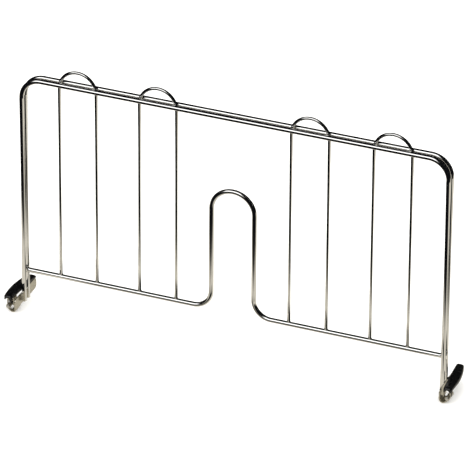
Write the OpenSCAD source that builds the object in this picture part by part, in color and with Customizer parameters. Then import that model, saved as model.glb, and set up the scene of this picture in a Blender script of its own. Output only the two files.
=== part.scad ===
// Shelf divider for wire shelving: two frame wires, one bottom wire bent round a
// hand slot, four hairpin wires, and a sprung lever clip at each bottom corner.
// Origin: middle of the footprint, at the level of the hooks' undersides.
// X runs along the divider, Y through its thickness, Z up.

/* [Frame wires] */
// Distance between the upright legs, centre to centre
leg_span = 430; // [380:5:600]
// Height of the top wires above the bottom wire, centre to centre
panel_h = 207.8; // [180:0.2:320]
// Diameter of the frame wires and of the bottom wire
wire_d = 4.8; // [4:0.1:5.4]
// Centre-line radius of the frames' top corners
corner_r = 20; // [12:1:28]
// Length of the legs below the bottom wire's centre
leg_tail = 33; // [29:0.5:35]

/* [Hairpin wires] */
// Diameter of the hairpin wires, which also sets the gap between the frames
infill_d = 3.2; // [2.6:0.1:3.6]
// Distance between the two legs of a hairpin, centre to centre
infill_w = 37.8; // [30:0.2:42]
// Place of an inner hairpin, as a part of the way from the middle of the divider to a leg
infill_near_ratio = 0.3567; // [0.31:0.0001:0.38]
// Place of an outer hairpin, as a part of the way from the middle of the divider to a leg
infill_far_ratio = 0.7386; // [0.66:0.0001:0.76]
// Rise of the hairpin arches above the top wires, centre to centre
infill_rise = 14.5; // [8:0.5:24]

/* [Hand slot] */
// Height of the hand slot's arch above the bottom wire, centre to centre
slot_h = 129.3; // [100:0.1:150]
// Centre-line radius of the hand slot's arch
slot_r = 21.8; // [18:0.1:26]
// Centre-line radius of the bends at the foot of the hand slot
foot_r = 18; // [8:0.5:20]

/* [Hooks] */
// Length of a clip's wall, along the shelf's edge wire
clip_len = 50; // [44:0.5:60]
// Length of the wire seat and of its hinge, at the front end of the wall
hook_len = 12; // [11:0.5:20]
// Distance of the wires' middle plane from the clips' middle
clip_shift = 5; // [0:0.5:8]
// Thickness of the hook and lever sheet
sheet_t = 1; // [0.8:0.1:1.2]
// Inner radius of the seat for the shelf's edge wire
seat_r = 2.4; // [2.2:0.1:2.6]
// Depth of the seat's centre below the bottom wire's centre
seat_drop = 35.6; // [34:0.1:38]
// Height of the hook's wall above the seat's centre
wall_h = 10.9; // [9:0.1:12]
// Radius of the wall's corners
wall_corner_r = 4; // [2:0.5:5]
// Angle that the seat is wrapped past its lowest point, in degrees
lip_angle = 38; // [32:1:40]
// Straight run of the lip from the seat to its hinge knuckle
lip_run = 4.8; // [4.7:0.1:6]

/* [Hinge] */
// Diameter of the hinge pin
pin_d = 2.4; // [2:0.1:2.6]
// Diameter of the pin's heads
pin_head_d = 3.6; // [3.2:0.1:4.2]
// Thickness of the pin's heads
pin_head_t = 0.7; // [0.5:0.1:1]
// Radial clearance of the pin in the hook's knuckles
hook_pin_gap = 0.03; // [0.02:0.01:0.05]
// Radial clearance of the pin in the lever's knuckles
lever_pin_gap = 0.05; // [0.04:0.01:0.08]
// Length of each hook knuckle along the pin
knuckle_len = 2.2; // [2:0.1:2.6]
// Free length between the lever's knuckles, for the spring
spring_room = 3.6; // [3.4:0.1:4]
// Clearance between the lever and what it turns beside
run_gap = 0.3; // [0.2:0.05:0.4]

/* [Lever] */
// Centre-line radius of the lever sheet's bends
lever_bend_r = 1.2; // [1:0.1:1.4]
// Height of the lever's window above the hinge pin
window_h = 4.6; // [4:0.1:5.5]
// Gap between the lever's keeper edge and the shelf wire
keeper_gap = 0.4; // [0.2:0.1:0.8]
// Width of the tongue that carries the grip
tongue_w = 3.6; // [3.2:0.1:3.7]
// Reach of the tongue behind the clip's middle
tongue_back = 16; // [14:0.5:18]

/* [Spring] */
// Diameter of the spring wire
spring_wire_d = 0.6; // [0.5:0.05:0.7]
// Clearance between the spring's coil and the pin
coil_gap = 0.25; // [0.2:0.05:0.35]
// Number of full turns in the coil
coil_turns = 3; // [2:1:4]
// Length of the coil along the pin
coil_len = 2.6; // [2.2:0.1:2.8]

/* [Grip] */
// Greatest thickness of the grip above the lever
grip_h = 4.2; // [3.4:0.1:6]
// Grip's inner edge at the front end, measured out from the leg's centre line
grip_in_front = 6.2; // [5.2:0.1:7]
// Grip's inner edge at the back end, measured out from the leg's centre line
grip_in_back = 2; // [0.8:0.1:2.4]
// Grip's outer edge at its widest, measured out from the leg's centre line
grip_out = 15.5; // [14:0.1:17]
// Pull-in of the outer edge at the front end
grip_taper_front = 0.8; // [0:0.1:3]
// Pull-in of the outer edge at the back end
grip_taper_back = 6.2; // [3:0.1:7]
// Place of the grip's widest point in front of the clip's middle
grip_wide_at = 9; // [0:0.5:12]
// Drop of the grip's front lip below the lever's top
grip_droop = 2.2; // [1:0.1:3]
// Radius of the thumb scoop under the front lip
scoop_r = 2.6; // [2:0.1:3]
// Diameter of the grip rivets
rivet_d = 1.6; // [1.2:0.1:1.8]
// Diameter of the grip rivets' heads
rivet_head_d = 2.8; // [2.4:0.1:3]
// Thickness of the grip rivets' heads
rivet_head_t = 0.6; // [0.4:0.1:0.8]
// Depth of the grip rivets in the grip
rivet_depth = 2.2; // [1.5:0.1:2.5]
// Distance from the front end of the clip to the first rivet of a grip
rivet_front = 6.5; // [6:0.1:7]
// Distance between the two rivets of a grip
rivet_pitch = 30; // [24:1:31]

/* [Hidden] */

$fn = 48;
wire_r = wire_d / 2;
infill_near = leg_span / 2 * infill_near_ratio;
infill_far = leg_span / 2 * infill_far_ratio;
infill_r = infill_w / 2;
wires_y = -clip_shift;
frame_pitch = wire_d + infill_d;

// Heights, with the hooks' undersides at zero
seat_z = seat_r + sheet_t;
base_z = seat_z + seat_drop;
top_z = base_z + panel_h;
leg_tip_z = base_z - leg_tail;
wall_top_z = seat_z + wall_h;
arch_z = top_z + infill_rise - infill_r;

// Middle of the seat and of its hinge: the pin's front head is flush with the wall's end
hook_y = (hook_len - clip_len) / 2 + run_gap + pin_head_t;

// Hook, with e measured out from the leg's centre line
wall_e = wire_r + sheet_t / 2;
seat_e = wire_r + sheet_t + seat_r;
seat_mid_r = seat_r + sheet_t / 2;
knuckle_r = pin_d / 2 + hook_pin_gap + sheet_t;
curl_r = knuckle_r - 0.1; // a knuckle's curl stands a little proud of its sheet
lap = 0.3; // strips run back into the edge they grow from
lap_set = 0.03; // and lie this far under its faces
lip_out = [seat_e + (seat_r + sheet_t) * sin(lip_angle), seat_z - (seat_r + sheet_t) * cos(lip_angle)];
pin_e = lip_out[0] + lip_run * cos(lip_angle) - curl_r * sin(lip_angle);
pin_z = lip_out[1] + lip_run * sin(lip_angle) + curl_r * cos(lip_angle);

// Lever, closed down over the shelf wire
lever_len = hook_len - 2 * (knuckle_len + run_gap);
lever_knuckle_len = (lever_len - spring_room) / 2;
grip_z = wall_top_z + run_gap;
riser_e = pin_e + curl_r - sheet_t / 2;
flange_z = grip_z - sheet_t / 2;
flange_e = (riser_e + seat_e) / 2;
keeper_z = seat_z + seat_r + keeper_gap;

// Spring: coil radius, and the angle where its lower leg leaves the coil
coil_r = pin_d / 2 + coil_gap + spring_wire_d / 2;
leg_rest = lip_out + (spring_wire_d / 2 + 0.15) * [sin(lip_angle), -cos(lip_angle)];
leg_reach = leg_rest - [pin_e, pin_z];
leave_angle = atan2(leg_reach[1], leg_reach[0]) + acos(coil_r / norm(leg_reach));

// A bar with the child's section, fed and bent in the XZ plane from the origin upwards.
// Each step is [feed, turn towards +X in degrees, centre-line radius of the turn].
module bent_bar(steps, i = 0) {
    feed = steps[i][0];
    turn = steps[i][1];
    r = turn < 0 ? -steps[i][2] : steps[i][2];
    linear_extrude(feed) children();
    if (turn != 0)
        translate([r, 0, feed]) {
            rotate([90, 0, 0]) rotate([0, 0, turn > 0 ? 180 - turn : 0])
                rotate_extrude(angle = abs(turn)) translate([abs(r), 0]) children();
            if (i + 1 < len(steps))
                rotate([0, turn, 0]) translate([-r, 0, 0]) bent_bar(steps, i + 1) children();
        }
}

// A wire of diameter d, fed and bent as above
module bent_wire(steps, d) {
    bent_bar(steps) circle(d = d);
}

// A cylinder along Y, centred on the origin
module rod(d, len) {
    rotate([90, 0, 0]) cylinder(d = d, h = len, center = true);
}

// A clip's frame: X out from the leg's centre line, on the right (1) or left (-1)
module at_end(side) {
    mirror([side < 0 ? 1 : 0, 0, 0]) translate([leg_span / 2, 0, 0]) children();
}

// Inverted U of one frame, its tips at the foot of the legs
module frame_wire(y) {
    leg = top_z - leg_tip_z - corner_r;
    color("silver") translate([-leg_span / 2, y, leg_tip_z])
        bent_wire([[leg, 90, corner_r], [leg_span - 2 * corner_r, 90, corner_r], [leg, 0, 0]], wire_d);
}

// Flattened end of the bottom wire, pinched between the two legs
module pinched_end() {
    flat_h = wire_d + 0.8;
    flat_len = wire_d + 1.5;
    translate([leg_span / 2 + wire_r - flat_len / 2, 0, 0]) intersection() {
        rotate([0, 90, 0]) cylinder(d = flat_h, h = flat_len, center = true);
        cube([2 * flat_len, infill_d, 2 * flat_h], center = true);
    }
}

// One wire: end, foot bend, up and over the hand slot, and the same again
module bottom_wire() {
    side_run = slot_h - slot_r - foot_r;
    end_run = leg_span / 2 - wire_r - slot_r - foot_r;
    color("silver") translate([0, wires_y, base_z]) {
        translate([wire_r - leg_span / 2, 0, 0]) rotate([0, 90, 0])
            bent_wire([[end_run, -90, foot_r], [side_run, 180, slot_r],
                       [side_run, -90, foot_r], [end_run, 0, 0]], wire_d);
        for (side = [0, 1]) mirror([side, 0, 0]) pinched_end();
    }
}

// Hairpin with its feet coped to the top of the bottom wire
module hairpin(x) {
    leg = arch_z - base_z;
    color("silver") translate([x, wires_y, base_z]) difference() {
        translate([-infill_r, 0, 0]) bent_wire([[leg, 180, infill_r], [leg, 0, 0]], infill_d);
        rotate([0, 90, 0]) cylinder(d = wire_d, h = infill_w + 2 * wire_d, center = true);
    }
}

// Flat wall of a hook, rounded but for the corner above the seat
module hook_wall() {
    far = clip_len / 2 - wall_corner_r;
    translate([wire_r, 0, seat_z]) rotate([90, 0, 90]) linear_extrude(sheet_t) union() {
        translate([-clip_len / 2, 0]) square([clip_len - wall_corner_r, wall_h - wall_corner_r]);
        translate([-far, 0]) square([2 * far, wall_h]);
        translate([0, wall_corner_r]) square([clip_len / 2, wall_h - 2 * wall_corner_r]);
        for (at = [[-far, wall_h - wall_corner_r], [far, wall_h - wall_corner_r], [far, wall_corner_r]])
            translate(at) circle(r = wall_corner_r);
    }
}

// Sheet hook: welded wall, wire seat, and a lip that carries the outer knuckles
module hook_base(side) {
    color("gainsboro") at_end(side) difference() {
        union() {
            hook_wall();
            translate([seat_e, hook_y, seat_z]) rotate([90, 0, 0]) rotate([0, 0, 180])
                rotate_extrude(angle = 90 + lip_angle) translate([seat_mid_r, 0])
                    square([sheet_t, hook_len], center = true);
            for (s = [-1, 1]) translate([0, hook_y + s * (hook_len - knuckle_len) / 2, 0]) {
                translate([lip_out[0], 0, lip_out[1]]) rotate([0, -lip_angle, 0])
                    translate([-lap, -knuckle_len / 2, lap_set])
                        cube([lip_run + lap, knuckle_len, sheet_t - 2 * lap_set]);
                translate([pin_e, 0, pin_z]) rod(2 * knuckle_r, knuckle_len);
            }
        }
        translate([pin_e, hook_y, pin_z]) rod(pin_d + 2 * hook_pin_gap, hook_len + 2);
    }
}

// Hinge pin, headed at both ends
module hinge_pin(side) {
    color("silver") at_end(side) translate([pin_e, hook_y, pin_z]) {
        rod(pin_d, hook_len + 2 * run_gap);
        for (s = [-1, 1]) translate([0, s * (hook_len / 2 + run_gap + pin_head_t / 2), 0])
            rod(pin_head_d, pin_head_t);
    }
}

// Sheet lever: two knuckles, a riser, a flange, a keeper edge over the wire and a tongue
module lever_arm(side) {
    riser = flange_z - lever_bend_r - pin_z;
    flange = riser_e - seat_e - 2 * lever_bend_r;
    keeper = flange_z - lever_bend_r - keeper_z;
    tongue_front = hook_y + lever_len / 2 - lap;
    color("gainsboro") at_end(side) difference() {
        union() {
            translate([riser_e, hook_y, pin_z])
                bent_bar([[riser, -90, lever_bend_r], [flange, -90, lever_bend_r], [keeper, 0, 0]])
                    square([sheet_t, lever_len], center = true);
            translate([flange_e - tongue_w / 2, tongue_front, grip_z - sheet_t + lap_set])
                cube([tongue_w, tongue_back - tongue_front, sheet_t - 2 * lap_set]);
            for (s = [-1, 1])
                translate([pin_e, hook_y + s * (lever_len - lever_knuckle_len) / 2, pin_z])
                    rod(2 * knuckle_r, lever_knuckle_len);
        }
        translate([pin_e, hook_y, pin_z]) rod(pin_d + 2 * lever_pin_gap, lever_len + 2);
        translate([riser_e - sheet_t, hook_y - spring_room / 2, pin_z - 1])
            cube([2 * sheet_t, spring_room, window_h + 1]);
        rivet_places() cylinder(d = rivet_d + 2 * hook_pin_gap, h = 2 * sheet_t, center = true);
    }
}

// Puts its child at both rivets, on the lever's top face
module rivet_places() {
    for (i = [0, 1]) translate([flange_e, rivet_front - clip_len / 2 + i * rivet_pitch, grip_z]) children();
}

// Two rivets up through the lever's flange into the grip
module grip_rivets(side) {
    color("silver") at_end(side) rivet_places() {
        translate([0, 0, -sheet_t]) cylinder(d = rivet_d, h = sheet_t + rivet_depth);
        translate([0, 0, -sheet_t - rivet_head_t]) cylinder(d = rivet_head_d, h = rivet_head_t);
    }
}

// Grip's edges, underside and thickness at a distance y behind the clip's middle
grip_half = clip_len / 2 - run_gap;
lip_len = grip_half + hook_y - lever_len / 2 - run_gap; // the front lip droops ahead of the lever
function grip_inner(y) = grip_in_front + (grip_in_back - grip_in_front) * (y + grip_half) / (2 * grip_half);
function grip_outer(y) = y < -grip_wide_at
    ? grip_out - grip_taper_front * pow((y + grip_wide_at) / (grip_half - grip_wide_at), 2)
    : grip_out - grip_taper_back * pow((y + grip_wide_at) / (grip_half + grip_wide_at), 2);
function grip_under(y) = grip_z - grip_droop * pow(max(0, (-y - grip_half + lip_len) / lip_len), 2);
function grip_thick(y) = grip_h * (1 - 0.5 * pow(abs(y) / grip_half, 3));
// End rounding: how far the plan shape pulls in at the two ends
function grip_end(y) = sqrt(max(0, 1 - pow(max(0, abs(y) - grip_half + 2) / 2.2, 2)));

// One cross-section of the grip: flat below and domed above
function grip_ring(y, n) = [for (k = [0 : n])
    let (mid = (grip_inner(y) + grip_outer(y)) / 2, half = (grip_outer(y) - grip_inner(y)) / 2)
    [mid - half * (0.55 + 0.45 * grip_end(y)) * cos(180 * k / n), y,
     k == 0 || k == n ? grip_under(y)
         : grip_z + 0.6 + (grip_thick(y) - 0.6) * pow(sin(180 * k / n), 0.6) * grip_end(y)]];

// Moulded thumb grip on the lever's flange
module thumb_grip(side) {
    n = 14;
    ys = [for (i = [0 : 24]) grip_half * sin(-90 + 180 * i / 24)];
    rings = [for (y = ys) each grip_ring(y, n)];
    m = n + 1;
    last = (len(ys) - 1) * m;
    skin = [for (i = [0 : len(ys) - 2], k = [0 : n])
        [i * m + k, i * m + (k + 1) % m, (i + 1) * m + (k + 1) % m, (i + 1) * m + k]];
    tris = [for (f = skin) each [[f[0], f[1], f[2]], [f[0], f[2], f[3]]]];
    front = [for (k = [n : -1 : 0]) k];
    back = [for (k = [0 : n]) last + k];
    color([0.06, 0.06, 0.06]) at_end(side) difference() {
        polyhedron(points = rings, faces = concat(tris, [front, back]));
        rivet_places() cylinder(d = rivet_d + 2 * hook_pin_gap, h = 2 * rivet_depth + 0.2, center = true);
        translate([(grip_inner(-grip_half) + grip_outer(-grip_half)) / 2, -clip_len / 2, grip_z - grip_droop])
            rod(2 * scoop_r, 2 * knuckle_len);
    }
}

// Spring wire's centre line: lower leg on the lip, coil on the pin, upper leg on the riser
function spring_path() = let (
        turn = 360 * coil_turns + (360 - leave_angle % 360),
        rings = coil_turns * 10 + 2,
        leg_top = [riser_e + sheet_t / 2 + spring_wire_d / 2 + 0.15, hook_y + coil_len / 2,
                   pin_z + window_h + 1.4])
    concat([[leg_rest[0], hook_y - coil_len / 2, leg_rest[1]]],
           [for (i = [0 : rings]) let (a = leave_angle + turn * i / rings)
               [pin_e + coil_r * cos(a), hook_y + coil_len * (i / rings - 0.5), pin_z + coil_r * sin(a)]],
           [leg_top]);

// Torsion spring that holds the lever closed
module torsion_spring(side) {
    sides = 6;
    path = spring_path();
    last = len(path) - 1;
    points = [for (i = [0 : last])
        let (t = path[min(i + 1, last)] - path[max(i - 1, 0)],
             u = cross(t, [0, 1, 0]) / norm(cross(t, [0, 1, 0])),
             v = cross(t, u) / norm(t))
        for (k = [0 : sides - 1])
            path[i] + spring_wire_d / 2 * (u * cos(360 * k / sides) + v * sin(360 * k / sides))];
    skin = [for (i = [0 : last - 1], k = [0 : sides - 1])
        let (a = i * sides, j = (k + 1) % sides)
        each [[a + k, a + sides + k, a + sides + j], [a + k, a + sides + j, a + j]]];
    front = [for (k = [0 : sides - 1]) k];
    back = [for (k = [sides - 1 : -1 : 0]) last * sides + k];
    color("dimgray") at_end(side) polyhedron(points = points, faces = concat(skin, [front, back]));
}

frame_wire(wires_y - frame_pitch / 2);  // front_frame_wire
frame_wire(wires_y + frame_pitch / 2);  // rear_frame_wire
bottom_wire();
hairpin(-infill_far);  // left_outer_hairpin
hairpin(-infill_near);  // left_inner_hairpin
hairpin(infill_near);  // right_inner_hairpin
hairpin(infill_far);  // right_outer_hairpin
hook_base(-1);  // left_hook_base
hinge_pin(-1);  // left_hinge_pin
lever_arm(-1);  // left_lever_arm
thumb_grip(-1);  // left_thumb_grip
grip_rivets(-1);  // left_grip_rivets
torsion_spring(-1);  // left_torsion_spring
hook_base(1);  // right_hook_base
hinge_pin(1);  // right_hinge_pin
lever_arm(1);  // right_lever_arm
thumb_grip(1);  // right_thumb_grip
grip_rivets(1);  // right_grip_rivets
torsion_spring(1);  // right_torsion_spring
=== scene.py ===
# Looks of a chromed wire shelf divider with a sprung lever clip at each bottom corner.
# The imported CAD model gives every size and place; each section dresses one kind of piece.
import math

import bmesh
import bpy
from mathutils import Matrix, Vector


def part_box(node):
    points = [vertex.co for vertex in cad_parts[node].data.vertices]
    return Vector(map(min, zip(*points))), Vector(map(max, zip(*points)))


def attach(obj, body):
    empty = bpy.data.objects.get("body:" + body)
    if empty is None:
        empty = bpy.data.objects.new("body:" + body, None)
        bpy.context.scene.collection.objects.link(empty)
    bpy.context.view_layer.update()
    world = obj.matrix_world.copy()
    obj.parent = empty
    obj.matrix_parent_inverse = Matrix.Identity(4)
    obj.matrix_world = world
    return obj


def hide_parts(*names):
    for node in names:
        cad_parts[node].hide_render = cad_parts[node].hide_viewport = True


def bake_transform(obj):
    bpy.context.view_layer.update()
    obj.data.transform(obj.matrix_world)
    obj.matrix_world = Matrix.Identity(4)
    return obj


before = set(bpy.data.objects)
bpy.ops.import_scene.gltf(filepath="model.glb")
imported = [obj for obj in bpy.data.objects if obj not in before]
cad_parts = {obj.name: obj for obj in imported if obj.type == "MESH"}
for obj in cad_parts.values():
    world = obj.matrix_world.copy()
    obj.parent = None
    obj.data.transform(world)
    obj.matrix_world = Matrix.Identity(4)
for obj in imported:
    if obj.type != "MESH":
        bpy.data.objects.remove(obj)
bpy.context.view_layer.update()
MM = 0.001

# ---------------------------------------------------------------- camera
# A long lens, as for a catalogue shot, looks down from the right front, so that the
# right-hand clip is nearest and both frames show side by side.
AIM = Vector((-11.0, 27.6, 103.6)) * MM
DISTANCE = 4.924
TURN, DIP, ROLL = (math.radians(a) for a in (22.04, 28.61, 0.52))
camera_data = bpy.data.cameras.new("catalogue_camera")
camera_data.lens = 397.2
camera_data.sensor_width = 36.0
camera_data.clip_end = 30.0
camera = bpy.data.objects.new("catalogue_camera", camera_data)
bpy.context.scene.collection.objects.link(camera)
camera.matrix_world = (
    Matrix.Translation(AIM)
    @ Matrix.Rotation(TURN, 4, "Z")
    @ Matrix.Rotation(math.pi / 2 - DIP, 4, "X")
    @ Matrix.Rotation(ROLL, 4, "Z")
    @ Matrix.Translation((0, 0, DISTANCE))
)
bpy.context.scene.camera = camera


# ---------------------------------------------------------------- frame wires
# Two inverted U frames of bright steel wire, cut, bent at two corners and chromed
# after welding. They are swept as one tube each, with the cut tips eased.
front_low, front_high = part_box("front_frame_wire")
rear_low, rear_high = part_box("rear_frame_wire")
WIRE_D = front_high.y - front_low.y
LEG_X = front_high.x - WIRE_D / 2
TOP_Z = front_high.z - WIRE_D / 2
TIP_Z = front_low.z
CORNER_R = 20 * MM
WIRE_SIDES = 40
TIP_EASE = 0.6 * MM
POLISH_PATCH = 11.1 * MM
DRAW_MARK = 4.17 * MM


def linear(hex_colour):
    """An sRGB hex colour as the linear RGBA that shader sockets take."""
    values = [int(hex_colour[i : i + 2], 16) / 255 for i in (1, 3, 5)]
    return (*(v / 12.92 if v <= 0.04045 else ((v + 0.055) / 1.055) ** 2.4 for v in values), 1.0)


def add_node(tree, kind, settings=None, inputs=None):
    """Adds a node, sets its properties and its sockets, by name or number, and links the
    sockets whose value is another node's output."""
    node = tree.nodes.new(kind)
    for name, value in (settings or {}).items():
        setattr(node, name, value)
    for name, value in (inputs or {}).items():
        if isinstance(value, bpy.types.NodeSocket):
            tree.links.new(value, node.inputs[name])
        else:
            node.inputs[name].default_value = value
    return node


def new_material(name):
    """An empty node material and its Principled shader."""
    material = bpy.data.materials.new(name)
    material.use_nodes = True
    shader = material.node_tree.nodes["Principled BSDF"]
    return material, material.node_tree, shader


def plated_wire(name, colour, shade, polish, haze):
    """Chrome plate over drawn steel wire. The plate is mirror bright; what gives it away as
    wire is a faint unevenness of the drawn core, some 4 mm long, and hazy patches of polish."""
    material, tree, shader = new_material(name)
    place = add_node(tree, "ShaderNodeTexCoord").outputs["Object"]
    haze_noise = add_node(
        tree, "ShaderNodeTexNoise",
        inputs={"Vector": place, "Scale": 1 / POLISH_PATCH, "Detail": 4.0},
    )
    rough = add_node(
        tree, "ShaderNodeMapRange",
        inputs={"Value": haze_noise.outputs["Fac"], "From Min": 0.35, "From Max": 0.7,
                "To Min": polish, "To Max": haze},
    )
    tone = add_node(
        tree, "ShaderNodeMix", {"data_type": "RGBA"},
        {"Factor": haze_noise.outputs["Fac"], "A": linear(colour), "B": linear(shade)},
    )
    draw_noise = add_node(
        tree, "ShaderNodeTexNoise", inputs={"Vector": place, "Scale": 1 / DRAW_MARK, "Detail": 2.0}
    )
    bump = add_node(
        tree, "ShaderNodeBump",
        inputs={"Height": draw_noise.outputs["Fac"], "Strength": 0.06, "Distance": 0.2 * MM},
    )
    shader.inputs["Metallic"].default_value = 1.0
    tree.links.new(tone.outputs["Result"], shader.inputs["Base Color"])
    tree.links.new(rough.outputs["Result"], shader.inputs["Roughness"])
    tree.links.new(bump.outputs["Normal"], shader.inputs["Normal"])
    return material


def swept_wire_tree():
    """Geometry Nodes: a round section carried along the curve, capped and smooth."""
    tree = bpy.data.node_groups.new("Swept wire", "GeometryNodeTree")
    for name, kind in (("Geometry", "NodeSocketGeometry"), ("Wire diameter", "NodeSocketFloat"),
                       ("Sides", "NodeSocketInt"), ("Finish", "NodeSocketMaterial")):
        tree.interface.new_socket(name, in_out="INPUT", socket_type=kind)
    tree.interface.new_socket("Geometry", in_out="OUTPUT", socket_type="NodeSocketGeometry")
    given = add_node(tree, "NodeGroupInput").outputs
    half = add_node(
        tree, "ShaderNodeMath", {"operation": "MULTIPLY"}, {0: given["Wire diameter"], 1: 0.5}
    )
    section = add_node(
        tree, "GeometryNodeCurvePrimitiveCircle",
        inputs={"Resolution": given["Sides"], "Radius": half.outputs[0]},
    )
    tube = add_node(
        tree, "GeometryNodeCurveToMesh",
        inputs={"Curve": given["Geometry"], "Profile Curve": section.outputs["Curve"],
                "Fill Caps": True},
    )
    smooth = add_node(tree, "GeometryNodeSetShadeSmooth", inputs={"Geometry": tube.outputs["Mesh"]})
    real = add_node(tree, "GeometryNodeRealizeInstances", inputs={"Geometry": smooth.outputs[0]})
    finish = add_node(
        tree, "GeometryNodeSetMaterial",
        inputs={"Geometry": real.outputs[0], "Material": given["Finish"]},
    )
    out = add_node(tree, "NodeGroupOutput")
    tree.links.new(finish.outputs[0], out.inputs["Geometry"])
    return tree


def run_tree(name, data, tree, values):
    """Runs a Geometry Nodes tree on curve or mesh data and keeps the result as a plain mesh."""
    source = bpy.data.objects.new(name + "_source", data)
    bpy.context.scene.collection.objects.link(source)
    modifier = source.modifiers.new("Build", "NODES")
    modifier.node_group = tree
    for socket in tree.interface.items_tree:
        if socket.in_out == "INPUT" and socket.name in values:
            modifier[socket.identifier] = values[socket.name]
    evaluated = source.evaluated_get(bpy.context.evaluated_depsgraph_get())
    mesh = bpy.data.meshes.new_from_object(evaluated)
    bpy.data.objects.remove(source)
    piece = bpy.data.objects.new(name, mesh)
    bpy.context.scene.collection.objects.link(piece)
    return piece


def bent_path(corners, radius, step=math.radians(4)):
    """Points along a path in a plane of constant y, with each inner corner bent to the radius."""
    points = [corners[0]]
    for before, corner, after in zip(corners, corners[1:], corners[2:]):
        into, out = (corner - before).normalized(), (after - corner).normalized()
        turn = into.angle(out)
        reach = radius * math.tan(turn / 2)
        centre = corner + (out - into).normalized() * radius / math.cos(turn / 2)
        spoke = corner - into * reach - centre
        count = max(2, round(turn / step))
        for i in range(count + 1):
            spin = Matrix.Rotation(turn * i / count, 3, into.cross(out))
            points.append(centre + spin @ spoke)
    points.append(corners[-1])
    return points


def curve_of(name, points):
    """A poly curve through the points, skipping any that coincide."""
    kept = [p for i, p in enumerate(points) if i == 0 or (p - points[i - 1]).length > 0.01 * MM]
    data = bpy.data.curves.new(name, "CURVE")
    data.dimensions = "3D"
    data.twist_mode = "Z_UP"
    spline = data.splines.new("POLY")
    spline.points.add(len(kept) - 1)
    for point, place in zip(spline.points, kept):
        point.co = (*place, 1.0)
    return data


def ease_edges(piece, width, segments=2, angle=40):
    """Breaks the sharp edges of a piece and makes the result its plain mesh."""
    bevel = piece.modifiers.new("Ease", "BEVEL")
    bevel.width = width
    bevel.segments = segments
    bevel.limit_method = "ANGLE"
    bevel.angle_limit = math.radians(angle)
    bevel.harden_normals = False
    evaluated = piece.evaluated_get(bpy.context.evaluated_depsgraph_get())
    mesh = bpy.data.meshes.new_from_object(evaluated)
    piece.modifiers.clear()
    piece.data = mesh


SWEPT_WIRE = swept_wire_tree()
frame_chrome = plated_wire("frame_wire_bright_chrome", "#F3F3F2", "#E8E7E5", 0.02, 0.07)
for node, low, high in (("front_frame_wire", front_low, front_high),
                        ("rear_frame_wire", rear_low, rear_high)):
    y = (low.y + high.y) / 2
    corners = [Vector((-LEG_X, y, TIP_Z)), Vector((-LEG_X, y, TOP_Z)),
               Vector((LEG_X, y, TOP_Z)), Vector((LEG_X, y, TIP_Z))]
    wire = run_tree(node + "_bent", curve_of(node, bent_path(corners, CORNER_R)), SWEPT_WIRE,
                    {"Wire diameter": WIRE_D, "Sides": WIRE_SIDES, "Finish": frame_chrome})
    ease_edges(wire, TIP_EASE, 3)
    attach(wire, "divider")
    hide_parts(node)

# ---------------------------------------------------------------- bottom wire
# One length of the same wire, bent up and over a hand slot. Its ends are pressed flat
# between the legs, which is how both frames and this wire are resistance welded as one.
slot_low, slot_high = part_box("bottom_wire")
MID_Y = (slot_low.y + slot_high.y) / 2
PRESSED_SPREAD = 0.8 * MM
BASE_Z = slot_low.z + (WIRE_D + PRESSED_SPREAD) / 2
GAP = rear_low.y - front_high.y
SLOT_TOP_Z = slot_high.z - WIRE_D / 2
SLOT_R = 21.8 * MM
FOOT_R = 18 * MM
PRESS_RUN = 7 * MM
PRESS_RAMP = 0.45 * PRESS_RUN
PRESSED_RISE = 1.16
PRESSED_EASE = 0.4 * MM


def press_ends(piece, end_x, half_gap, centre):
    """Flattens the ends of a round wire to the gap, over a short run, and lets them spread."""
    for vertex in piece.data.vertices:
        t = (abs(vertex.co.x) - (end_x - PRESS_RUN)) / PRESS_RAMP
        t = max(0.0, min(1.0, t))
        t = t * t * (3 - 2 * t)
        across = vertex.co.y - centre.y
        pressed = max(-half_gap, min(half_gap, across))
        vertex.co.y = centre.y + across + (pressed - across) * t
        vertex.co.z = centre.z + (vertex.co.z - centre.z) * (1 + (PRESSED_RISE - 1) * t)


end_x = LEG_X + WIRE_D / 2
corners = [Vector((-end_x, MID_Y, BASE_Z)), Vector((-SLOT_R, MID_Y, BASE_Z)),
           Vector((-SLOT_R, MID_Y, SLOT_TOP_Z)), Vector((SLOT_R, MID_Y, SLOT_TOP_Z)),
           Vector((SLOT_R, MID_Y, BASE_Z)), Vector((end_x, MID_Y, BASE_Z))]
foot_left = bent_path(corners[:3], FOOT_R)
arch = bent_path(corners[1:5], SLOT_R)
foot_right = bent_path(corners[3:], FOOT_R)
press_rings = [PRESS_RUN * i / 8 for i in range(9)]
path = [Vector((-end_x + d, MID_Y, BASE_Z)) for d in press_rings] + foot_left[1:-1] + arch[1:-1]
path += foot_right[1:-1] + [Vector((end_x - d, MID_Y, BASE_Z)) for d in reversed(press_rings)]
bottom = run_tree("bottom_wire_bent", curve_of("bottom_wire", path), SWEPT_WIRE,
                  {"Wire diameter": WIRE_D, "Sides": WIRE_SIDES, "Finish": frame_chrome})
press_ends(bottom, end_x, GAP / 2, Vector((0, MID_Y, BASE_Z)))
ease_edges(bottom, PRESSED_EASE, 2, 60)
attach(bottom, "divider")
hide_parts("bottom_wire")

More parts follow.
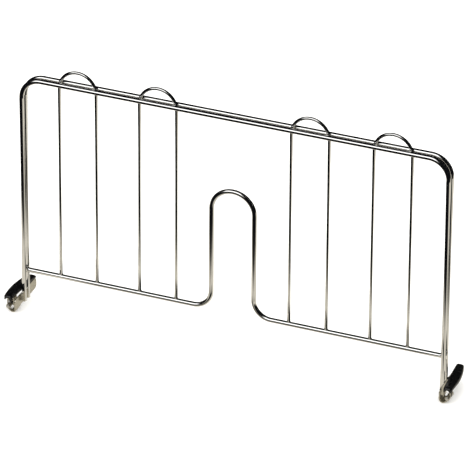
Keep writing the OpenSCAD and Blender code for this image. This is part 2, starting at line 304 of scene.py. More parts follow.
# ---------------------------------------------------------------- hairpin wires
# Four hairpins of thinner wire, threaded up between the two frames. Their arches stand
# above the top wires and their feet are butt welded on top of the bottom wire.
hairpin_chrome = plated_wire("hairpin_wire_bright_chrome", "#F0F0EE", "#E2E1DE", 0.03, 0.09)
FOOT_SINK = 0.1 * WIRE_D
hairpin_legs = []
for node in ("left_outer_hairpin", "left_inner_hairpin",
             "right_inner_hairpin", "right_outer_hairpin"):
    low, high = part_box(node)
    hairpin_d = high.y - low.y
    x0, x1 = low.x + hairpin_d / 2, high.x - hairpin_d / 2
    foot_z, crown_z = BASE_Z + WIRE_D / 2 - FOOT_SINK, high.z - hairpin_d / 2
    corners = [Vector((x0, MID_Y, foot_z)), Vector((x0, MID_Y, crown_z)),
               Vector((x1, MID_Y, crown_z)), Vector((x1, MID_Y, foot_z))]
    pin = run_tree(node + "_bent", curve_of(node, bent_path(corners, (x1 - x0) / 2)), SWEPT_WIRE,
                   {"Wire diameter": hairpin_d, "Sides": 32, "Finish": hairpin_chrome})
    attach(pin, "divider")
    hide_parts(node)
    hairpin_legs += [x0, x1]

# ---------------------------------------------------------------- welds
# Resistance welds leave a small squeezed-out bead where two wires cross or butt. They
# are plated with the rest, but stay a little duller and greyer than the drawn wire.
CAST_GRAIN = 0.714 * MM
BEAD_R = 1 * MM
BEAD_LUMP = 0.25 * MM
BEAD_LUMP_LEN = MM / 0.9
# Each bead's half sizes along x, y and z, in bead radii
CROSSING_BEAD = (1.5, 0.75, 1.5)
FOOT_BEAD = (2.3, 1.9, 0.8)
PINCH_BEAD = (1.7, 0.9, 1.1)
PINCH_RISE = 2.4 * MM


def weld_metal():
    """Plated weld metal: mirror chrome broken up by a grainy, slightly sunken cast skin."""
    material, tree, shader = new_material("plated_weld_bead")
    place = add_node(tree, "ShaderNodeTexCoord").outputs["Object"]
    grain = add_node(
        tree, "ShaderNodeTexNoise", inputs={"Vector": place, "Scale": 1 / CAST_GRAIN, "Detail": 5.0}
    )
    bump = add_node(
        tree, "ShaderNodeBump",
        inputs={"Height": grain.outputs["Fac"], "Strength": 0.5, "Distance": 0.1 * MM},
    )
    rough = add_node(
        tree, "ShaderNodeMapRange",
        inputs={"Value": grain.outputs["Fac"], "To Min": 0.1, "To Max": 0.34},
    )
    shader.inputs["Metallic"].default_value = 1.0
    shader.inputs["Base Color"].default_value = linear("#D8D5CC")
    tree.links.new(rough.outputs["Result"], shader.inputs["Roughness"])
    tree.links.new(bump.outputs["Normal"], shader.inputs["Normal"])
    return material


def bead_tree():
    """Geometry Nodes: one squashed bead on each point, scaled by the point's own size."""
    tree = bpy.data.node_groups.new("Weld beads", "GeometryNodeTree")
    for name, kind in (("Geometry", "NodeSocketGeometry"), ("Bead radius", "NodeSocketFloat"),
                       ("Unevenness", "NodeSocketFloat"), ("Finish", "NodeSocketMaterial")):
        tree.interface.new_socket(name, in_out="INPUT", socket_type=kind)
    tree.interface.new_socket("Geometry", in_out="OUTPUT", socket_type="NodeSocketGeometry")
    given = add_node(tree, "NodeGroupInput").outputs
    bead = add_node(
        tree, "GeometryNodeMeshIcoSphere",
        inputs={"Radius": given["Bead radius"], "Subdivisions": 3},
    )
    size = add_node(
        tree, "GeometryNodeInputNamedAttribute", {"data_type": "FLOAT_VECTOR"}, {"Name": "size"}
    )
    on_points = add_node(
        tree, "GeometryNodeInstanceOnPoints",
        inputs={"Points": given["Geometry"], "Instance": bead.outputs["Mesh"],
                "Scale": size.outputs["Attribute"]},
    )
    real = add_node(tree, "GeometryNodeRealizeInstances", inputs={"Geometry": on_points.outputs[0]})
    lumps = add_node(
        tree, "ShaderNodeTexNoise", inputs={"Scale": 1 / BEAD_LUMP_LEN, "Detail": 1.0}
    )
    centred = add_node(
        tree, "ShaderNodeMath", {"operation": "SUBTRACT"}, {0: lumps.outputs["Fac"], 1: 0.5}
    )
    amount = add_node(
        tree, "ShaderNodeMath", {"operation": "MULTIPLY"},
        {0: centred.outputs[0], 1: given["Unevenness"]},
    )
    outward = add_node(tree, "GeometryNodeInputNormal")
    push = add_node(
        tree, "ShaderNodeVectorMath", {"operation": "SCALE"},
        {"Vector": outward.outputs["Normal"], "Scale": amount.outputs[0]},
    )
    uneven = add_node(
        tree, "GeometryNodeSetPosition",
        inputs={"Geometry": real.outputs[0], "Offset": push.outputs["Vector"]},
    )
    smooth = add_node(tree, "GeometryNodeSetShadeSmooth", inputs={"Geometry": uneven.outputs[0]})
    finish = add_node(
        tree, "GeometryNodeSetMaterial",
        inputs={"Geometry": smooth.outputs[0], "Material": given["Finish"]},
    )
    out = add_node(tree, "NodeGroupOutput")
    tree.links.new(finish.outputs[0], out.inputs["Geometry"])
    return tree


def beads(name, places, size):
    """Weld beads of one size at the given places, as one piece of the welded divider."""
    mesh = bpy.data.meshes.new(name)
    mesh.from_pydata([tuple(p) for p in places], [], [])
    for item in mesh.attributes.new("size", "FLOAT_VECTOR", "POINT").data:
        item.vector = size
    piece = run_tree(name, mesh, WELD_BEADS,
                     {"Bead radius": BEAD_R, "Unevenness": BEAD_LUMP, "Finish": weld_finish})
    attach(piece, "divider")


WELD_BEADS = bead_tree()
weld_finish = weld_metal()
crossings = [(x, MID_Y + side * GAP / 2, TOP_Z) for x in hairpin_legs for side in (-1, 1)]
beads("top_crossing_welds", crossings, CROSSING_BEAD)
feet = [(x, MID_Y, BASE_Z + WIRE_D / 2) for x in hairpin_legs]
beads("hairpin_foot_welds", feet, FOOT_BEAD)
pinches = [(sx * LEG_X, MID_Y + sy * GAP / 2, BASE_Z + sz * PINCH_RISE)
           for sx in (-1, 1) for sy in (-1, 1) for sz in (-1, 1)]
beads("leg_welds", pinches, PINCH_BEAD)

# ---------------------------------------------------------------- hooks
# Each hook is one blank of 1 mm steel sheet: a long wall welded to the outer side of both
# legs, and at its front end a J-shaped seat for the shelf wire with two rolled straps.
SHEET_T = 1 * MM
SEAT_R = 2.4 * MM
LIP_TURN = math.radians(38)
HOOK_LEN = 12 * MM
KNUCKLE_LEN = 2.2 * MM
WALL_CORNER_R = 4 * MM
CURL = math.radians(288)
hook_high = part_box("right_hook_base")[1]
pin_low, pin_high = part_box("right_hinge_pin")
CLIP_HALF = hook_high.y
HOOK_Y = (pin_low.y + pin_high.y) / 2
PIN_E = (pin_low.x + pin_high.x) / 2 - LEG_X
PIN_Z = (pin_low.z + pin_high.z) / 2
PIN_R = 1.2 * MM
PIN_GAP = 0.03 * MM
CURL_R = PIN_R + PIN_GAP + SHEET_T / 2
WALL_E = WIRE_D / 2 + SHEET_T / 2
SEAT_E = WIRE_D / 2 + SHEET_T + SEAT_R
SEAT_Z = SEAT_R + SHEET_T
SHEET_CLOUD = 6.25 * MM
SHEET_EASE = 0.14 * MM
SAME_POINT = 0.005 * MM


def plated_sheet(name, colour, shade, polish, haze, grain):
    """Nickel and chrome plate over rolled steel sheet. It is duller and warmer than the wire,
    with short rolling marks along the clip, drawn about three times as coarse as real ones."""
    material, tree, shader = new_material(name)
    place = add_node(tree, "ShaderNodeTexCoord").outputs["Object"]
    stretch = add_node(
        tree, "ShaderNodeMapping", inputs={"Vector": place, "Scale": (1.0, 0.12, 1.0)}
    )
    marks = add_node(
        tree, "ShaderNodeTexNoise",
        inputs={"Vector": stretch.outputs[0], "Scale": 1 / grain, "Detail": 3.0},
    )
    clouds = add_node(
        tree, "ShaderNodeTexNoise",
        inputs={"Vector": place, "Scale": 1 / SHEET_CLOUD, "Detail": 3.0},
    )
    tone = add_node(
        tree, "ShaderNodeMix", {"data_type": "RGBA"},
        {"Factor": clouds.outputs["Fac"], "A": linear(colour), "B": linear(shade)},
    )
    rough = add_node(
        tree, "ShaderNodeMapRange",
        inputs={"Value": clouds.outputs["Fac"], "From Min": 0.3, "From Max": 0.7,
                "To Min": polish, "To Max": haze},
    )
    bump = add_node(
        tree, "ShaderNodeBump",
        inputs={"Height": marks.outputs["Fac"], "Strength": 0.18, "Distance": 0.05 * MM},
    )
    shader.inputs["Metallic"].default_value = 1.0
    tree.links.new(tone.outputs["Result"], shader.inputs["Base Color"])
    tree.links.new(rough.outputs["Result"], shader.inputs["Roughness"])
    tree.links.new(bump.outputs["Normal"], shader.inputs["Normal"])
    return material


def arc(centre, radius, start, turn, step=math.radians(6)):
    """Stations (e, z) on an arc; angles are from outwards (e) towards up (z)."""
    count = max(2, round(abs(turn) / step))
    return [(centre[0] + radius * math.cos(start + turn * i / count),
             centre[1] + radius * math.sin(start + turn * i / count)) for i in range(count + 1)]


def at_end(mesh, side):
    """Moves a mesh from clip coordinates (e outwards from the leg, y, z) to its end."""
    mesh.transform(Matrix.Translation((LEG_X, 0, 0)))
    if side < 0:
        mesh.transform(Matrix.Scale(-1, 4, (1, 0, 0)))
        mesh.flip_normals()


def folded_sheet(name, side, stations, columns, spans, present, finish):
    """A sheet of metal over the stations (e, z), cut at each one to its span of y. Only the
    cells (station, column) that are present exist; the rest is cut out of the blank."""
    mesh = bpy.data.meshes.new(name)
    bm = bmesh.new()
    grid = [[bm.verts.new((e, max(low, min(high, y)), z)) for y in columns]
            for (e, z), (low, high) in zip(stations, spans)]
    for i in range(len(stations) - 1):
        for j in range(len(columns) - 1):
            if present(i, j):
                bm.faces.new((grid[i][j], grid[i][j + 1], grid[i + 1][j + 1], grid[i + 1][j]))
    bmesh.ops.delete(bm, geom=[v for v in bm.verts if not v.link_faces], context="VERTS")
    bmesh.ops.remove_doubles(bm, verts=bm.verts, dist=SAME_POINT)
    bmesh.ops.recalc_face_normals(bm, faces=bm.faces)
    bm.to_mesh(mesh)
    bm.free()
    mesh.materials.append(finish)
    piece = bpy.data.objects.new(name, mesh)
    bpy.context.scene.collection.objects.link(piece)
    wall = piece.modifiers.new("Gauge", "SOLIDIFY")
    wall.thickness = SHEET_T
    wall.offset = 0
    wall.use_even_offset = True
    ease_edges(piece, SHEET_EASE, 2, 50)
    piece.data.shade_smooth()
    piece.data.set_sharp_from_angle(angle=math.radians(35))
    at_end(piece.data, side)
    return piece


hook_plate = plated_sheet(
    "nickel_plated_hook_sheet", "#CFCBBF", "#A9A493", 0.16, 0.34, 0.5 * MM
)
seat_end = math.pi + math.pi / 2 + LIP_TURN
corner = [math.radians(a) for a in range(0, 91, 15)]
drops = [WALL_CORNER_R * (1 - math.cos(a)) for a in corner]
cuts = [WALL_CORNER_R * (1 - math.sin(a)) for a in corner]
top_rows = [(WALL_E, hook_high.z - drop) for drop in drops]
top_spans = [(cut - CLIP_HALF, CLIP_HALF - cut) for cut in cuts]
foot_rows = [(WALL_E, SEAT_Z + drop) for drop in reversed(drops)]
foot_spans = [(-CLIP_HALF, CLIP_HALF - cut) for cut in reversed(cuts)]
seat_rows = arc((SEAT_E, SEAT_Z), SEAT_R + SHEET_T / 2, math.pi, seat_end - math.pi)[1:]
curl_rows = arc((PIN_E, PIN_Z), CURL_R, seat_end - 2 * math.pi, CURL)
stations = top_rows + foot_rows + seat_rows + curl_rows
spans = top_spans + foot_spans + [(-CLIP_HALF, CLIP_HALF)] * (len(seat_rows) + len(curl_rows))
seat_starts = len(top_rows + foot_rows) - 1
curl_starts = seat_starts + len(seat_rows)
near, far = HOOK_Y - HOOK_LEN / 2, HOOK_Y + HOOK_LEN / 2
columns = [-CLIP_HALF, near, near + KNUCKLE_LEN, HOOK_Y, far - KNUCKLE_LEN, far]
columns += [far + (CLIP_HALF - far) * i / 6 for i in range(1, 7)]


def in_hook(i, j):
    """The wall in full, the seat at the front end, and two straps round the pin."""
    if i < seat_starts:
        return True
    return j in (1, 4) if i >= curl_starts else 1 <= j <= 4


for end, side in (("left", -1), ("right", 1)):
    hook = folded_sheet(end + "_hook_folded", side, stations, columns, spans, in_hook, hook_plate)
    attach(hook, "divider")
    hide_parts(end + "_hook_base")

# The wall is stitched to the legs by a bead down each side of each leg.
STITCH_BEAD = (0.55, 0.7, 0.95)
STITCHES, STITCH_PITCH = 6, 1.35 * MM
FIRST_STITCH_Z = TIP_Z + 1.2 * MM
STITCH_X = LEG_X + WIRE_D / 2 - 0.35 * MM
STITCH_ACROSS = 1.25 * MM
leg_lines = [(low.y + high.y) / 2 for low, high in ((front_low, front_high), (rear_low, rear_high))]
stitches = [(side * STITCH_X, y + across * STITCH_ACROSS, FIRST_STITCH_Z + k * STITCH_PITCH)
            for side in (-1, 1) for y in leg_lines for across in (-1, 1) for k in range(STITCHES)]
beads("hook_stitch_welds", stitches, STITCH_BEAD)

# ---------------------------------------------------------------- hinge pins
# Turned steel pins through both plates' rolled straps, peened over at each end so that
# they can't work out.
TOOL_MARK = 0.91 * MM
PIN_EASE = 0.05 * MM


def turned(name, profile, finish, steps=40):
    """A solid turned about Z from a profile of (z, radius) points that starts and ends on it."""
    mesh = bpy.data.meshes.new(name)
    bm = bmesh.new()
    angles = [math.tau * k / steps for k in range(steps)]
    rings = [[bm.verts.new((r * math.cos(a), r * math.sin(a), z))
              for a in (angles if r else angles[:1])] for z, r in profile]
    for low, high in zip(rings, rings[1:]):
        for k in range(steps):
            n = (k + 1) % steps
            loop = [low[k % len(low)], low[n % len(low)], high[n % len(high)], high[k % len(high)]]
            bm.faces.new(list(dict.fromkeys(loop)))
    bmesh.ops.recalc_face_normals(bm, faces=bm.faces)
    bm.to_mesh(mesh)
    bm.free()
    mesh.materials.append(finish)
    return mesh


def machined_steel(name, colour, polish, haze):
    """Bright turned or drawn steel: its tool marks show as a soft, uneven gleam. They are drawn
    some ten times as coarse as real ones, so that they show at all."""
    material, tree, shader = new_material(name)
    place = add_node(tree, "ShaderNodeTexCoord").outputs["Object"]
    marks = add_node(
        tree, "ShaderNodeTexNoise", inputs={"Vector": place, "Scale": 1 / TOOL_MARK, "Detail": 2.0}
    )
    rough = add_node(
        tree, "ShaderNodeMapRange",
        inputs={"Value": marks.outputs["Fac"], "To Min": polish, "To Max": haze},
    )
    bump = add_node(
        tree, "ShaderNodeBump",
        inputs={"Height": marks.outputs["Fac"], "Strength": 0.2, "Distance": 0.04 * MM},
    )
    shader.inputs["Metallic"].default_value = 1.0
    shader.inputs["Base Color"].default_value = linear(colour)
    tree.links.new(rough.outputs["Result"], shader.inputs["Roughness"])
    tree.links.new(bump.outputs["Normal"], shader.inputs["Normal"])
    return material


pin_steel = machined_steel("turned_pin_steel", "#C9C8C4", 0.14, 0.3)
PIN_HALF = (pin_high.y - pin_low.y) / 2
HEAD_R = (pin_high.x - pin_low.x) / 2
HEAD_T = 0.7 * MM
# The head's dome: how far each ring lies below its crown, and its part of the head's radius
dome = ((0, 0), (0.04 * MM, 0.45), (0.16 * MM, 0.78), (0.36 * MM, 0.96), (0.5 * MM, 1),
        (HEAD_T, 0.97))
head = [(PIN_HALF - below, HEAD_R * part) for below, part in dome] + [(PIN_HALF - HEAD_T, PIN_R)]
pin_profile = head + [(-z, r) for z, r in reversed(head)]
for end, side in (("left", -1), ("right", 1)):
    mesh = turned(end + "_hinge_pin_turned", pin_profile, pin_steel)
    lay_down = Matrix.Rotation(math.radians(90), 4, "X")
    mesh.transform(Matrix.Translation((PIN_E, HOOK_Y, PIN_Z)) @ lay_down)
    at_end(mesh, side)
    pin = bpy.data.objects.new(end + "_hinge_pin_turned", mesh)
    bpy.context.scene.collection.objects.link(pin)
    pin.data.shade_smooth()
    ease_edges(pin, PIN_EASE, 1, 60)
    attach(pin, "divider")
    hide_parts(end + "_hinge_pin")

# ---------------------------------------------------------------- levers
# Each lever is a second sheet blank: two short straps rolled round the pin, a riser with a
# window for the spring, a keeper edge over the shelf wire, and a long tongue for the grip.
lever_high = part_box("right_lever_arm")[1]
RUN_GAP = 0.3 * MM
KEEPER_GAP = 0.4 * MM
LEVER_HALF = HOOK_LEN / 2 - KNUCKLE_LEN - RUN_GAP
TONGUE_BACK = lever_high.y
SPRING_ROOM = 3.6 * MM
FOLD_R = 1.2 * MM
WINDOW_H = 4.6 * MM
FLANGE_Z = lever_high.z - SHEET_T / 2
RISER_E = PIN_E + CURL_R
KEEPER_Z = SEAT_Z + SEAT_R + KEEPER_GAP
FOLD_STEP = math.radians(15)
lever_plate = plated_sheet(
    "nickel_plated_lever_sheet", "#C7C3B8", "#9F9A8B", 0.18, 0.38, 0.45 * MM
)
curl_rows = arc((PIN_E, PIN_Z), CURL_R, -CURL, CURL)
fold_z = FLANGE_Z - FOLD_R
fold_rows = arc((RISER_E - FOLD_R, fold_z), FOLD_R, 0, math.pi / 2, FOLD_STEP)
keeper_rows = arc((SEAT_E + FOLD_R, fold_z), FOLD_R, math.pi / 2, math.pi / 2, FOLD_STEP)
window_row = [(RISER_E, PIN_Z + WINDOW_H)]
stations = curl_rows + window_row + fold_rows + keeper_rows + [(SEAT_E, KEEPER_Z)]
flange_row = len(curl_rows + window_row + fold_rows) - 1
room = SPRING_ROOM / 2
columns = [HOOK_Y + y for y in (-LEVER_HALF, -room, 0, room, LEVER_HALF)]
columns += [columns[-1] + (TONGUE_BACK - columns[-1]) * i / 6 for i in range(1, 7)]
spans = [(-CLIP_HALF, CLIP_HALF)] * len(stations)


def in_lever(i, j):
    """The riser and the flange, with the tongue behind, and two straps beside the window."""
    if j > 3:
        return i == flange_row
    return j in (0, 3) or i >= len(curl_rows)


for end, side in (("left", -1), ("right", 1)):
    lever = folded_sheet(end + "_lever_folded", side, stations, columns, spans, in_lever,
                         lever_plate)
    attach(lever, end + "_lever")
    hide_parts(end + "_lever_arm")

# ---------------------------------------------------------------- rivets
# Two small steel rivets hold each grip to its lever; their domed heads show underneath.
rivet_steel = machined_steel("rivet_steel", "#BDBBB5", 0.2, 0.36)
rivet_low, rivet_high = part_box("right_grip_rivets")
RIVET_HEAD_R = (rivet_high.x - rivet_low.x) / 2
RIVET_E = (rivet_high.x + rivet_low.x) / 2 - LEG_X
RIVET_R = 0.8 * MM
RIVET_HEAD_T = 0.6 * MM
# The head's dome, from its crown up: the height and the part of the head's radius
dome = ((0, 0), (0.05 * MM, 0.5), (0.2 * MM, 0.86), (0.42 * MM, 1), (RIVET_HEAD_T, 0.98))
rivet_profile = [(rivet_low.z + rise, RIVET_HEAD_R * part) for rise, part in dome]
rivet_profile += [(rivet_low.z + RIVET_HEAD_T, RIVET_R), (rivet_high.z, RIVET_R), (rivet_high.z, 0)]
for end, side in (("left", -1), ("right", 1)):
    bm = bmesh.new()
    for rivet_y in (rivet_low.y + RIVET_HEAD_R, rivet_high.y - RIVET_HEAD_R):
        one = turned("rivet", rivet_profile, rivet_steel, 28)
        one.transform(Matrix.Translation((RIVET_E, rivet_y, 0)))
        bm.from_mesh(one)
        bpy.data.meshes.remove(one)
    mesh = bpy.data.meshes.new(end + "_rivets_domed")
    bm.to_mesh(mesh)
    bm.free()
    mesh.materials.append(rivet_steel)
    mesh.shade_smooth()
    at_end(mesh, side)
    rivets = bpy.data.objects.new(end + "_rivets_domed", mesh)
    bpy.context.scene.collection.objects.link(rivets)
    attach(rivets, end + "_lever")
    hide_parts(end + "_grip_rivets")

# ---------------------------------------------------------------- springs
# A torsion spring of hard drawn wire sits on each pin between the lever's straps. One leg
# bears on the hook's lip, the other comes out of the window and follows the lever, and the
# coils wind between them.
SPRING_D = 0.6 * MM
COIL_GAP = 0.25 * MM
COIL_R = PIN_R + COIL_GAP + SPRING_D / 2
COIL_TURNS = 3
COIL_STEPS = 24 * COIL_TURNS
LIP_GAP, LEVER_GAP = 0.15 * MM, 0.1 * MM
LEG_PAST_WINDOW = 1.4 * MM
COIL_LEN = 2.6 * MM
spring_wire = machined_steel("hard_drawn_spring_wire", "#8E8C88", 0.2, 0.4)
off_lip = Vector((math.sin(LIP_TURN), 0, -math.cos(LIP_TURN)))
rest = Vector((SEAT_E, 0, SEAT_Z)) + (SEAT_R + SHEET_T + SPRING_D / 2 + LIP_GAP) * off_lip
reach = rest - Vector((PIN_E, 0, PIN_Z))
leave = math.atan2(reach.z, reach.x) + math.acos(COIL_R / reach.length)
sweep = math.tau * COIL_TURNS + math.tau - leave % math.tau
path = [Vector((rest.x, HOOK_Y - COIL_LEN / 2, rest.z))]
for i in range(COIL_STEPS + 1):
    angle = leave + sweep * i / COIL_STEPS
    path.append(Vector((PIN_E + COIL_R * math.cos(angle),
                        HOOK_Y + COIL_LEN * (i / COIL_STEPS - 0.5),
                        PIN_Z + COIL_R * math.sin(angle))))
leg_e = RISER_E + SHEET_T / 2 + SPRING_D / 2 + LEVER_GAP
path.append(Vector((leg_e, HOOK_Y + COIL_LEN / 2, PIN_Z + WINDOW_H + LEG_PAST_WINDOW)))
for end, side in (("left", -1), ("right", 1)):
    spring = run_tree(end + "_torsion_spring_wound", curve_of(end + "_spring", path), SWEPT_WIRE,
                      {"Wire diameter": SPRING_D, "Sides": 12, "Finish": spring_wire})
    at_end(spring.data, side)
    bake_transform(spring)
    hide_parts(end + "_torsion_spring")

# ---------------------------------------------------------------- grips
# Black moulded grips, wider than the lever and curved for the thumb. The top is smooth
# and domed, the front lip droops, and its underside is hollowed to give a fingernail room.
grip_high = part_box("right_thumb_grip")[1]
GRIP_HALF = grip_high.y
GRIP_Z = lever_high.z
GRIP_IN_FRONT, GRIP_IN_BACK = 6.2 * MM, 2.0 * MM
GRIP_OUT = grip_high.x - LEG_X
GRIP_WIDE_AT = 9 * MM
TAPER_FRONT, TAPER_BACK = 0.8 * MM, 6.2 * MM
DROOP, LIP_LEN = 2.2 * MM, 2.9 * MM
GRIP_H = grip_high.z - GRIP_Z
EDGE_H = 0.6 * MM
END_ROUND = 2.2 * MM
END_EASE = 0.25 * MM
THUMB_PATCH = 4.55 * MM
ORANGE_PEEL = 1.11 * MM


def grip_ring(y, across=36, under=16):
    """One closed section of the grip, from its inner foot over the top and back underneath."""
    run = (y + GRIP_HALF) / (2 * GRIP_HALF)
    inner = GRIP_IN_FRONT + (GRIP_IN_BACK - GRIP_IN_FRONT) * run
    if y < -GRIP_WIDE_AT:
        pull = TAPER_FRONT * ((y + GRIP_WIDE_AT) / (GRIP_HALF - GRIP_WIDE_AT)) ** 2
    else:
        pull = TAPER_BACK * ((y + GRIP_WIDE_AT) / (GRIP_HALF + GRIP_WIDE_AT)) ** 2
    outer = GRIP_OUT - pull
    edge = max(0.0, abs(y) - (GRIP_HALF - END_ROUND)) / END_ROUND
    end = math.sqrt(max(0.0, 1 - edge * edge))
    middle, half = (inner + outer) / 2, (outer - inner) / 2 * (0.72 + 0.28 * end)
    crown = (1 - 0.5 * (abs(y) / GRIP_HALF) ** 3) * (0.25 + 0.75 * end)
    height = EDGE_H + (GRIP_H - EDGE_H) * crown
    drop = max(0.0, (LIP_LEN - GRIP_HALF - y) / LIP_LEN) ** 2 * DROOP
    ring = []
    for k in range(across + 1):
        t = math.pi * k / across
        aside = math.copysign(abs(math.cos(t)) ** 0.75, math.cos(t))
        up = height * math.sin(t) ** 0.55 - drop * (1 - math.sin(t) ** 0.5)
        ring.append(Vector((middle - half * aside, y, GRIP_Z + up)))
    for k in range(1, under):
        s = 1 - 2 * k / under
        hollow = max(0.0, 1 - (s / 0.8) ** 2) ** 0.7
        ring.append(Vector((middle + half * s, y, GRIP_Z - drop * (1 - hollow))))
    return ring


def moulded_plastic():
    """Black ABS from a polished mould: deep gloss over a faint orange peel, with the
    slight greying and dulling that thumbs leave on it."""
    material, tree, shader = new_material("black_moulded_abs")
    place = add_node(tree, "ShaderNodeTexCoord").outputs["Object"]
    wear = add_node(
        tree, "ShaderNodeTexNoise",
        inputs={"Vector": place, "Scale": 1 / THUMB_PATCH, "Detail": 4.0},
    )
    peel = add_node(
        tree, "ShaderNodeTexNoise",
        inputs={"Vector": place, "Scale": 1 / ORANGE_PEEL, "Detail": 2.0},
    )
    tone = add_node(
        tree, "ShaderNodeMix", {"data_type": "RGBA"},
        {"Factor": wear.outputs["Fac"], "A": linear("#020202"), "B": linear("#080808")},
    )
    rough = add_node(
        tree, "ShaderNodeMapRange",
        inputs={"Value": wear.outputs["Fac"], "From Min": 0.3, "From Max": 0.7,
                "To Min": 0.16, "To Max": 0.3},
    )
    bump = add_node(
        tree, "ShaderNodeBump",
        inputs={"Height": peel.outputs["Fac"], "Strength": 0.12, "Distance": 0.05 * MM},
    )
    shader.inputs["IOR"].default_value = 1.54
    tree.links.new(tone.outputs["Result"], shader.inputs["Base Color"])
    tree.links.new(rough.outputs["Result"], shader.inputs["Roughness"])
    tree.links.new(bump.outputs["Normal"], shader.inputs["Normal"])
    return material


grip_plastic = moulded_plastic()
for end, side in (("left", -1), ("right", 1)):
    bm = bmesh.new()
    rows = 64
    rings = []
    for i in range(rows + 1):
        y = -GRIP_HALF * math.cos(math.pi * i / rows)
        rings.append([bm.verts.new(p) for p in grip_ring(y)])
    n = len(rings[0])
    for a, b in zip(rings, rings[1:]):
        for k in range(n):
            bm.faces.new((a[k], a[(k + 1) % n], b[(k + 1) % n], b[k]))
    bm.faces.new(rings[0])
    bm.faces.new(rings[-1])
    bmesh.ops.recalc_face_normals(bm, faces=bm.faces)
    mesh = bpy.data.meshes.new(end + "_grip_moulded")
    bm.to_mesh(mesh)
    bm.free()
    mesh.materials.append(grip_plastic)
    mesh.shade_smooth()
    at_end(mesh, side)
    grip = bpy.data.objects.new(end + "_grip_moulded", mesh)
    bpy.context.scene.collection.objects.link(grip)
    ease_edges(grip, END_EASE, 2, 50)
    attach(grip, end + "_lever")
    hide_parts(end + "_thumb_grip")

# ---------------------------------------------------------------- floor, light
# A white table under an even white dome, for what the camera sees directly. What the plating
# mirrors is set apart: a dark room and one tall soft box in front, and on the table a painted
# reflection that glows for reflected rays only, warm near the divider and dark beyond.
TABLE_HALF = 4.0
DOME = (1.8, 1.8, 1.8, 1.0)
DARK = linear("#0E0F11")
PAINTED_REFLECTION_WARM = linear("#DCD6C8")
# Soft edges of the painted reflection on the table, in metres: the warm patch ends in front of the
# divider and fades with the distance to the wire that mirrors it, less so behind. A painted dark
# band runs along the front, short of both legs, and is seen only in the plating.
PATCH_FRONT = (-0.19, -0.09)
PATCH_FADE = (0.3, 0.13)
BEHIND = (0.0, 0.06)
BEHIND_REACH = 2.2
PAINTED_BAND_SIDES = ((-0.025, -0.045), (-0.13, -0.09))
PAINTED_BAND_ENDS = (0.205, 0.175)
PAINTED_BAND_FADE = (0.14, 0.1)
# Soft edges of the box, as parts of a direction: its foot and its head lean, its sides don't
BOX_FOOT_LEAN, BOX_FOOT = 0.33, (-0.04, 0.08)
BOX_HEAD_LEAN, BOX_HEAD = 0.55, (0.05, -0.07)
BOX_SIDES = ((0.25, 0.05), (-0.75, -0.6))


def soft_mask(tree, *edges):
    """1 where every edge is passed, 0 before any of them. An edge is a socket, the value at
    which it starts and the value at which it ends, which may be the lesser."""
    mask = 1.0
    for value, start, end in edges:
        step = add_node(
            tree, "ShaderNodeMapRange", {"interpolation_type": "SMOOTHSTEP"},
            {"Value": value, "From Min": start, "From Max": end},
        )
        mask = add_node(
            tree, "ShaderNodeMath", {"operation": "MULTIPLY"},
            {0: step.outputs["Result"], 1: mask},
        ).outputs[0]
    return mask


floor_mesh = bpy.data.meshes.new("floor")
floor_mesh.from_pydata(
    [(x * TABLE_HALF, y * TABLE_HALF, 0) for x, y in ((-1, -1), (1, -1), (1, 1), (-1, 1))],
    [], [(0, 1, 2, 3)],
)
floor = bpy.data.objects.new("floor", floor_mesh)
bpy.context.scene.collection.objects.link(floor)
table, tree, shader = new_material("white_table_with_painted_reflection")
shader.inputs["Base Color"].default_value = linear("#F4F3F0")
shader.inputs["Roughness"].default_value = 0.8
ray = add_node(tree, "ShaderNodeLightPath").outputs
place = add_node(tree, "ShaderNodeTexCoord").outputs["Object"]
spot = add_node(tree, "ShaderNodeSeparateXYZ", inputs={"Vector": place}).outputs
behind = soft_mask(tree, (spot["Y"], *BEHIND))
stretch = add_node(
    tree, "ShaderNodeMath", {"operation": "MULTIPLY_ADD"}, {0: behind, 1: BEHIND_REACH, 2: 1.0}
)
reach = add_node(
    tree, "ShaderNodeMath", {"operation": "DIVIDE"},
    {0: ray["Ray Length"], 1: stretch.outputs[0]},
)
aside = add_node(tree, "ShaderNodeMath", {"operation": "ABSOLUTE"}, {0: spot["X"]})
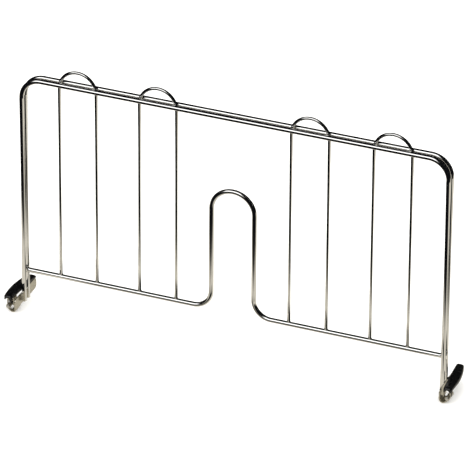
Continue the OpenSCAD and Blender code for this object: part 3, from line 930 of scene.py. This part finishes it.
# Painted reflection: for reflected rays the table glows warm near the divider, and dark with longer
# rays and in front.
warm_painted_reflection = add_node(
    tree, "ShaderNodeMix", {"data_type": "RGBA"},
    {"Factor": soft_mask(tree, (reach.outputs[0], *PATCH_FADE), (spot["Y"], *PATCH_FRONT)),
     "A": DARK, "B": PAINTED_REFLECTION_WARM},
)
# Painted reflection: a dark band along the front of the table, seen only in the plating, short of
# both legs.
painted_dark_band = soft_mask(
    tree,
    *((spot["Y"], *side) for side in PAINTED_BAND_SIDES),
    (ray["Ray Length"], *PAINTED_BAND_FADE),
    (aside.outputs[0], *PAINTED_BAND_ENDS),
)
with_painted_dark_band = add_node(
    tree, "ShaderNodeMix", {"data_type": "RGBA"},
    {"Factor": painted_dark_band, "A": warm_painted_reflection.outputs["Result"], "B": DARK},
)
mirrored = add_node(
    tree, "ShaderNodeEmission", inputs={"Color": with_painted_dark_band.outputs["Result"], "Strength": 1.0}
)
both = add_node(
    tree, "ShaderNodeMixShader",
    inputs={0: ray["Is Glossy Ray"], 1: shader.outputs[0], 2: mirrored.outputs[0]},
)
tree.links.new(both.outputs[0], tree.nodes["Material Output"].inputs["Surface"])
floor_mesh.materials.append(table)

world = bpy.data.worlds.new("studio")
bpy.context.scene.world = world
world.use_nodes = True
tree = world.node_tree
direction = add_node(tree, "ShaderNodeTexCoord").outputs["Generated"]
part = add_node(tree, "ShaderNodeSeparateXYZ", inputs={"Vector": direction}).outputs
box_foot = add_node(
    tree, "ShaderNodeMath", {"operation": "MULTIPLY_ADD"},
    {0: part["Y"], 1: BOX_FOOT_LEAN, 2: part["Z"]},
)
box_head = add_node(
    tree, "ShaderNodeMath", {"operation": "MULTIPLY_ADD"},
    {0: part["Z"], 1: BOX_HEAD_LEAN, 2: part["Y"]},
)
soft_box = soft_mask(
    tree,
    (box_foot.outputs[0], *BOX_FOOT),
    (box_head.outputs[0], *BOX_HEAD),
    *((part["X"], *side) for side in BOX_SIDES),
)
dark_room = add_node(
    tree, "ShaderNodeMix", {"data_type": "RGBA"}, {"Factor": soft_box, "A": DARK, "B": DOME}
)
glossy = add_node(tree, "ShaderNodeLightPath").outputs["Is Glossy Ray"]
sky = add_node(
    tree, "ShaderNodeMix", {"data_type": "RGBA"},
    {"Factor": glossy, "A": DOME, "B": dark_room.outputs["Result"]},
)
tree.links.new(sky.outputs["Result"], tree.nodes["Background"].inputs["Color"])
bpy.context.scene.view_settings.view_transform = "Standard"
